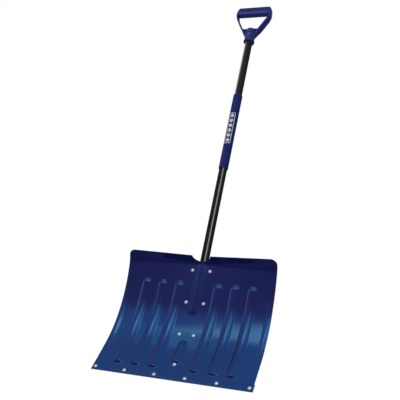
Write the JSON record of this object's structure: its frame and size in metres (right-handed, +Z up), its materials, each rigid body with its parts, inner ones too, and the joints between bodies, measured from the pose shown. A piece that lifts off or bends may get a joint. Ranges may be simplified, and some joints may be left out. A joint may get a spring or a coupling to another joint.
{
  "type": "snow shovel",
  "caption": "Snow shovel with a wide curved ribbed steel blade, a straight round tube handle with a foam hand sleeve, and a moulded D-shaped top grip.",
  "frame": {"origin": "middle of the flat ground face of the wear strip, at the foot of the blade", "axes": "+Z up along the handle, +X to the right, the scooping face looks to -Y"},
  "size_m": [0.46, 0.1082, 1.325],
  "materials": {
    "blade_paint": "glossy deep blue paint on pressed steel",
    "wear_steel": "bare mild steel, worn along its ground edge",
    "bracket_paint": "satin black powder coat",
    "rivet_steel": "bright zinc-plated steel",
    "tube_paint": "satin black powder coat",
    "foam": "matt closed-cell foam",
    "grip_plastic": "moulded polypropylene, faint sheen",
    "screw_steel": "pan-head screw painted to match the grip",
    "print_ink": "white screen-printed ink on the foam sleeve"
  },
  "bodies": {
    "root": {"blade": "blade_paint", "wear_strip": "wear_steel", "socket_bracket": "bracket_paint", "shaft_rivet": "rivet_steel", "handle_tube": "tube_paint", "foam_sleeve": "foam", "d_grip": "grip_plastic", "grip_screw": "screw_steel", "wear_strip_rivet_1": "rivet_steel", "wear_strip_rivet_2": "rivet_steel", "wear_strip_rivet_3": "rivet_steel", "wear_strip_rivet_4": "rivet_steel", "wear_strip_rivet_5": "rivet_steel", "wear_strip_rivet_6": "rivet_steel", "socket_rivet_upper_left": "rivet_steel", "socket_rivet_upper_right": "rivet_steel", "socket_rivet_lower_left": "rivet_steel", "socket_rivet_lower_right": "rivet_steel", "brace_rivet_left": "rivet_steel", "brace_rivet_right": "rivet_steel", "brace_rivet_tip": "rivet_steel"}
  },
  "joints": []
}
